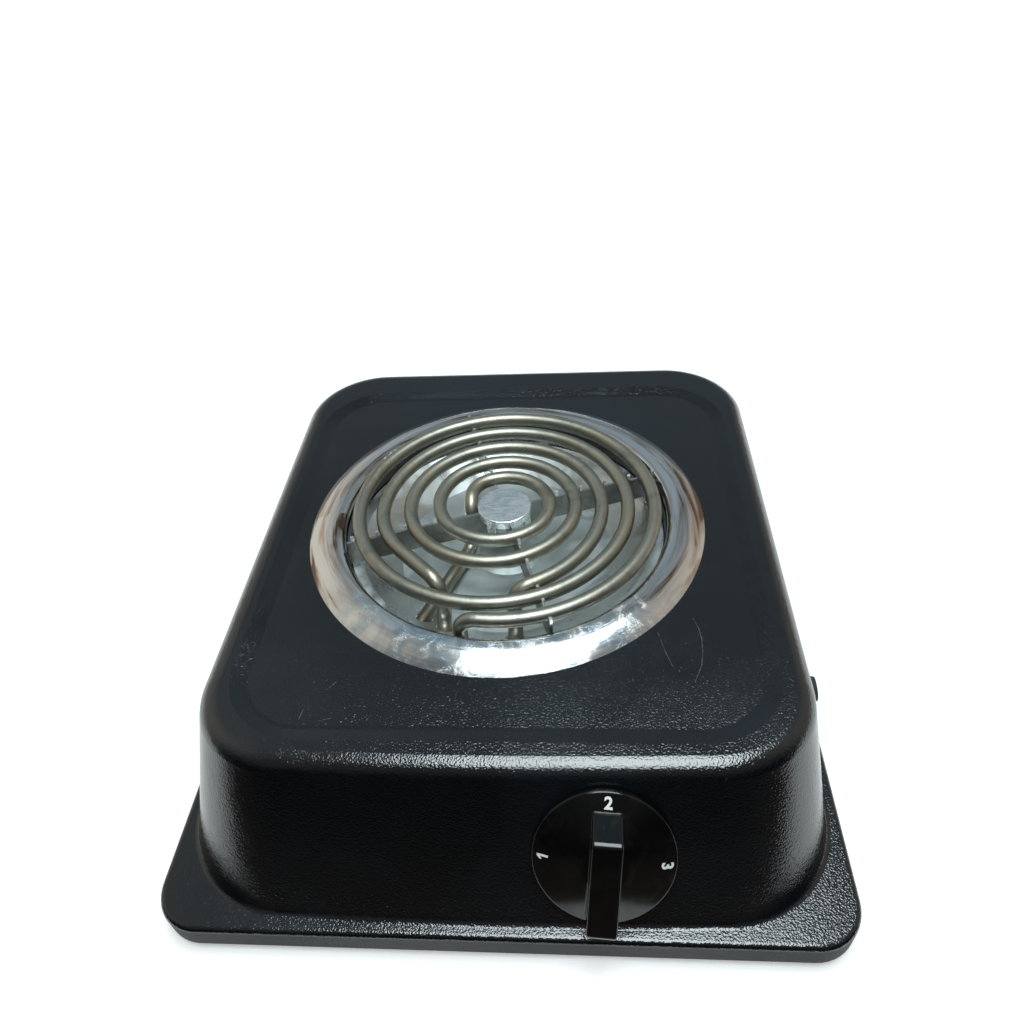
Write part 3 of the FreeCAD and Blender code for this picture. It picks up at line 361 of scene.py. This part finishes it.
# Heating tubes
# Two drawn steel sheaths, each wound to a flat spiral that lies in the notches of the cross.
# Heat has turned them a warm grey, blotched with olive and straw.
SHEATH = (0.32, 0.32, 0.272)
SHEATH_STRAW = (0.35, 0.315, 0.235)
SHEATH_DARK = (0.20, 0.205, 0.18)
SHEATH_ROUGHNESS = (0.36, 0.50)
SPECK_SPREAD = (0.3, 0.7)
SPECK_DEPTH = 0.02
sheath, tree, surface = new_material("element_sheath", SHEATH, metallic=1.0)
place = millimetres(tree)
straw = use(tree, smudges, Place=place, Size=26.0, Cover=0.45)["Mask"]
soot = use(tree, smudges, Place=place, Size=12.0, Cover=0.40)["Mask"]
colour = blend_colour(tree, straw, SHEATH, SHEATH_STRAW)
tree.links.new(blend_colour(tree, soot, colour, SHEATH_DARK), surface.inputs["Base Color"])
speck = noise(tree, place, Scale=1.3, Detail=4.0)
tree.links.new(ramp(tree, speck, *SPECK_SPREAD, *SHEATH_ROUGHNESS), surface.inputs["Roughness"])
set_bump(tree, surface, speck, SPECK_DEPTH)
dress(sheath, "outer_element", "inner_element")

# Support cross
# Two notched strips of plain steel on edge, half-lapped in the middle.
# The strips are stained by heat, and the tops of their lugs carry a painted highlight.
STRIP = (0.27, 0.275, 0.26)
STRIP_STAIN = (0.18, 0.185, 0.175)
STRIP_ROUGHNESS = (0.32, 0.5)
LUG_PAINTED_HIGHLIGHT = (0.80, 0.81, 0.77)
LUG_HIGHLIGHT_Z = (74.2, 75.6)
strip, tree, surface = new_material("arm_steel", STRIP, metallic=1.0)
place = millimetres(tree)
stain = use(tree, smudges, Place=place, Size=8.0, Cover=0.45)["Mask"]
colour = blend_colour(tree, stain, STRIP, STRIP_STAIN)
# Painted highlight: the lugs' tops are painted bright, fading in over their top millimetre and a half.
lug_highlight = ramp(tree, split(tree, place)["Z"], *LUG_HIGHLIGHT_Z)
tree.links.new(blend_colour(tree, lug_highlight, colour, LUG_PAINTED_HIGHLIGHT), surface.inputs["Base Color"])
tree.links.new(between(tree, stain, *STRIP_ROUGHNESS), surface.inputs["Roughness"])
dress(strip, "support_arm_long", "support_arm_cross")

# Cap in the middle of the coil
# A small stamped aluminium cap with a finely brushed top.
# Its slotted legs clip over the cross, and its face is plain.
CAP = (0.88, 0.92, 0.93)
CAP_DULL = (0.74, 0.79, 0.81)
BRUSH_TURN_DEG = 24.0
BRUSH_STRETCH = (0.25, 5.0, 1.0)
BRUSH_SPREAD = (0.3, 0.7)
BRUSH_DEPTH = 0.02
CAP_ROUGHNESS = (0.22, 0.42)
cap, tree, surface, place = blotched("cap_aluminium", CAP, CAP_DULL, size=7.0, cover=0.5, metallic=1.0)
drawn = add(tree, "ShaderNodeMapping", Vector=place, Scale=BRUSH_STRETCH,
            Rotation=(0.0, 0.0, math.radians(BRUSH_TURN_DEG))).outputs["Vector"]
brushed = noise(tree, drawn, Scale=1.0, Detail=4.0)
tree.links.new(ramp(tree, brushed, *BRUSH_SPREAD, *CAP_ROUGHNESS), surface.inputs["Roughness"])
set_bump(tree, surface, brushed, BRUSH_DEPTH)
dress(cap, "centre_medallion")

# Ceramic beads and mains block
# Off-white unglazed ceramic, slightly stained.
# The beads sit on the ends of the tubes, and the block is for the mains wires.
CERAMIC = (0.78, 0.75, 0.68)
CERAMIC_STAIN = (0.62, 0.57, 0.48)
ceramic = blotched("ceramic", CERAMIC, CERAMIC_STAIN, size=7.0, cover=0.4, roughness=0.6)[0]
dress(ceramic, "mains_block", *numbered("end_bead", 4))

# Switch and cord clamp
# Brown moulded phenolic with a pale plastic cam inside, behind the front wall on its plate.
# Its contacts and tabs, and the mains block's screws, are brass.
PHENOLIC = (0.10, 0.055, 0.035)
PHENOLIC_FLOW = (0.14, 0.085, 0.055)
phenolic = blotched("phenolic", PHENOLIC, PHENOLIC_FLOW, size=4.0, cover=0.5, roughness=0.42)[0]
dress(phenolic, "switch_body", "switch_cover", "cord_clamp")

CAM_PLASTIC = (0.70, 0.67, 0.60)
CAM_WORN = (0.55, 0.52, 0.45)
cam_plastic = blotched("cam_plastic", CAM_PLASTIC, CAM_WORN, size=3.0, cover=0.45, roughness=0.45)[0]
dress(cam_plastic, "switch_cam")

BRASS = (0.72, 0.54, 0.24)
BRASS_DULL = (0.50, 0.36, 0.17)
BRASS_ROUGHNESS = (0.22, 0.45)
brass = blotched("brass", BRASS, BRASS_DULL, size=4.0, cover=0.45, roughness=BRASS_ROUGHNESS, metallic=1.0)[0]
dress(brass, *numbered("contact_spring", 3), *numbered("switch_tab", 4), *numbered("block_screw", 3))

# Knob
# Glossy black moulded plastic, pushed on the switch's shaft.
# Its heat numbers are printed in white round the skirt.
KNOB_BLACK = (0.0022, 0.0022, 0.0024)
KNOB_RUBBED = (0.0045, 0.0043, 0.0042)
KNOB_ROUGHNESS = (0.12, 0.22)
KNOB_SOFT_EDGE = 1.0 * MM
knob, tree, surface = blotched("knob_black", KNOB_BLACK, KNOB_RUBBED, size=9.0, cover=0.45,
                               roughness=KNOB_ROUGHNESS)[:3]
soft_edge = add(tree, "ShaderNodeBevel", {"samples": 8}, Radius=KNOB_SOFT_EDGE)
tree.links.new(soft_edge.outputs["Normal"], surface.inputs["Normal"])
dress(knob, "control_knob")

PRINT = (0.80, 0.81, 0.80)
PRINT_THIN = (0.60, 0.61, 0.61)
print_white = blotched("print_white", PRINT, PRINT_THIN, size=1.2, cover=0.4)[0]

KNOB_R = 25.9 * MM
KNOB_EDGE_TOP = 3.6 * MM
KNOB_CONE_R = 9.0 * MM
KNOB_CONE_H = 8.6 * MM
KNOB_REST_DEG = -4.0
DIGIT_R = 21.9 * MM
DIGIT_H = 4.2 * MM
DIGIT_THICK = 0.12 * MM
DIGIT_BOLD = 0.045
FONT_DIGIT_H = 0.7
ONE = [(0.10, -0.5), (0.10, 0.5), (-0.08, 0.5), (-0.34, 0.26), (-0.34, 0.06), (-0.10, 0.22), (-0.10, -0.5)]
turn = next(joint for joint in frame["joints"] if joint["name"] == "knob_turn")
knob_out = Vector(turn["axis"])
knob_right = Vector((1, 0, 0))
knob_up = knob_out.cross(knob_right)
knob_frame = Matrix((knob_right, knob_up, knob_out)).transposed().to_4x4()
knob_frame.translation = Vector(turn["pos_m"])
skirt_fall = math.atan2(KNOB_CONE_H - KNOB_EDGE_TOP, KNOB_R - KNOB_CONE_R)
digit_z = KNOB_EDGE_TOP + (KNOB_R - DIGIT_R) * math.tan(skirt_fall)


def printed_one():
    """A thin raised 1, a plain stroke with a flag, centred on the origin."""
    mesh = bpy.data.meshes.new("digit_1")
    shape = bmesh.new()
    face = shape.faces.new([shape.verts.new((x * DIGIT_H, y * DIGIT_H, -DIGIT_THICK / 2)) for x, y in ONE])
    grown = bmesh.ops.extrude_face_region(shape, geom=[face])["geom"]
    raised = [item for item in grown if isinstance(item, bmesh.types.BMVert)]
    bmesh.ops.translate(shape, verts=raised, vec=(0, 0, DIGIT_THICK))
    bmesh.ops.recalc_face_normals(shape, faces=shape.faces[:])
    shape.to_mesh(mesh)
    shape.free()
    return mesh


def printed(digit):
    """A thin raised digit in a plain font, centred on the origin."""
    letter = bpy.data.curves.new("digit_" + digit, "FONT")
    letter.body = digit
    letter.size = DIGIT_H / FONT_DIGIT_H
    letter.align_x = "CENTER"
    letter.align_y = "CENTER"
    letter.extrude = DIGIT_THICK / 2
    letter.offset = DIGIT_BOLD * DIGIT_H
    source = bpy.data.objects.new("digit_source", letter)
    bpy.context.scene.collection.objects.link(source)
    bpy.context.view_layer.update()
    mesh = bpy.data.meshes.new_from_object(source.evaluated_get(bpy.context.evaluated_depsgraph_get()))
    bpy.data.objects.remove(source)
    return mesh


for digit, at_deg in (("1", 90.0), ("2", 0.0), ("3", -90.0)):
    mesh = printed_one() if digit == "1" else printed(digit)
    laid = Matrix.Rotation(-skirt_fall, 4, "X")
    outwards = Matrix.Translation((0, DIGIT_R, digit_z))
    swung = Matrix.Rotation(math.radians(KNOB_REST_DEG + at_deg), 4, "Z")
    mesh.transform(knob_frame @ swung @ outwards @ laid)
    mesh.materials.clear()
    mesh.materials.append(print_white)
    piece = bpy.data.objects.new("knob_digit_" + digit, mesh)
    bpy.context.scene.collection.objects.link(piece)
    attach(piece, "knob")

# Floor
# A pale sheet laid on a dark table, under the stove and behind it.
# To the eye and in reflections the sheet is lifted a little near the stove, and to white far off.
FLOOR_SIZE = 12.0
FLOOR_ROUGHNESS = 0.7
SHEET_COLOUR = (0.80, 0.80, 0.795)
TABLE_COLOUR = (0.050, 0.033, 0.022)
SHEET_EDGE = (-0.194, -0.186)
LIFT_NEAR = 0.34
LIFT_FAR = 1.0
LIFT_SPAN = (0.20, 0.90)
WHITE = (1.0, 1.0, 1.0, 1.0)
floor_mesh = bpy.data.meshes.new("floor")
shape = bmesh.new()
bmesh.ops.create_grid(shape, x_segments=1, y_segments=1, size=FLOOR_SIZE / 2)
shape.to_mesh(floor_mesh)
shape.free()
floor_paint, tree, surface = new_material("floor", SHEET_COLOUR, FLOOR_ROUGHNESS)
rays = add(tree, "ShaderNodeLightPath").outputs
seen = math_node(tree, "MAXIMUM", rays["Is Camera Ray"], rays["Is Glossy Ray"])
seen = math_node(tree, "MAXIMUM", seen, rays["Is Transmission Ray"])
place = add(tree, "ShaderNodeTexCoord").outputs["Object"]
sheet = ramp(tree, split(tree, place)["Y"], *SHEET_EDGE)
tree.links.new(blend_colour(tree, sheet, TABLE_COLOUR, SHEET_COLOUR), surface.inputs["Base Color"])
away = vector_node(tree, "LENGTH", place)["Value"]
lift = math_node(tree, "MULTIPLY", ramp(tree, away, *LIFT_SPAN, LIFT_NEAR, LIFT_FAR), sheet)
surface.inputs["Emission Color"].default_value = WHITE
tree.links.new(math_node(tree, "MULTIPLY", seen, lift), surface.inputs["Emission Strength"])
floor_mesh.materials.append(floor_paint)
floor = bpy.data.objects.new("floor", floor_mesh)
bpy.context.scene.collection.objects.link(floor)

# Light and camera
# One soft lamp overhead, in a dim room with a window on the left and a warm wall on the right.
# The camera stands where the photograph was taken.
LAMP_PLACE = (0.10, -0.13, 1.10)
LAMP_WIDTH = 0.58
LAMP_LENGTH = 0.80
LAMP_POWER = 14.0
LAMP_COLOUR = (0.90, 1.0, 1.03)
lamp = bpy.data.lights.new("overhead", "AREA")
lamp.shape = "RECTANGLE"
lamp.size = LAMP_WIDTH
lamp.size_y = LAMP_LENGTH
lamp.energy = LAMP_POWER
lamp.color = LAMP_COLOUR
lamp_object = bpy.data.objects.new("overhead", lamp)
lamp_object.location = LAMP_PLACE
lamp_object.rotation_euler = Vector((0, 0, -1)).to_track_quat("-Z", "Y").to_euler()
bpy.context.scene.collection.objects.link(lamp_object)

ROOM_DIM = (0.155, 0.19, 0.21)
ROOM_LIGHT = (0.27, 0.34, 0.39)
ROOM_PATCHES = (0.36, 0.64)
LEFT_WINDOW = (0.62, 0.60, 0.54)
LEFT_SIDE = (-0.75, -0.25)
RIGHT_WALL = (0.45, 0.42, 0.37)
RIGHT_SIDE = (0.32, 0.70)
FRONT_LOW = (0.010, 0.008, 0.006)
FRONT_HIGH = (0.15, 0.15, 0.15)
FRONT_RISE = (0.25, 0.75)
FRONT_TO_BACK = (-0.45, 0.2)
world = bpy.data.worlds.new("studio")
world.use_nodes = True
tree = world.node_tree
direction = add(tree, "ShaderNodeTexCoord").outputs["Generated"]
towards = split(tree, direction)
room = noise(tree, direction, Scale=2.6, Detail=1.0)
back = blend_colour(tree, ramp(tree, room, *ROOM_PATCHES), ROOM_DIM, ROOM_LIGHT)
back = blend_colour(tree, ramp(tree, towards["X"], *LEFT_SIDE, 1.0, 0.0), back, LEFT_WINDOW)
back = blend_colour(tree, ramp(tree, towards["X"], *RIGHT_SIDE), back, RIGHT_WALL)
front = blend_colour(tree, ramp(tree, towards["Z"], *FRONT_RISE), FRONT_LOW, FRONT_HIGH)
sky = blend_colour(tree, ramp(tree, towards["Y"], *FRONT_TO_BACK), front, back)
tree.links.new(sky, tree.nodes["Background"].inputs["Color"])
bpy.context.scene.world = world
bpy.context.scene.view_settings.view_transform = "Standard"

SENSOR_WIDTH = 36.0
LENS = 28.833
CAMERA_PLACE_MM = (31.17, -269.84, 330.66)
CAMERA_TURN_DEG = (47.969, 3.546, 3.002)
camera_data = bpy.data.cameras.new("camera")
camera_data.sensor_width = SENSOR_WIDTH
camera_data.lens = LENS
camera = bpy.data.objects.new("camera", camera_data)
camera.location = Vector(CAMERA_PLACE_MM) * MM
camera.rotation_euler = [math.radians(turn_deg) for turn_deg in CAMERA_TURN_DEG]
bpy.context.scene.collection.objects.link(camera)
bpy.context.scene.camera = camera
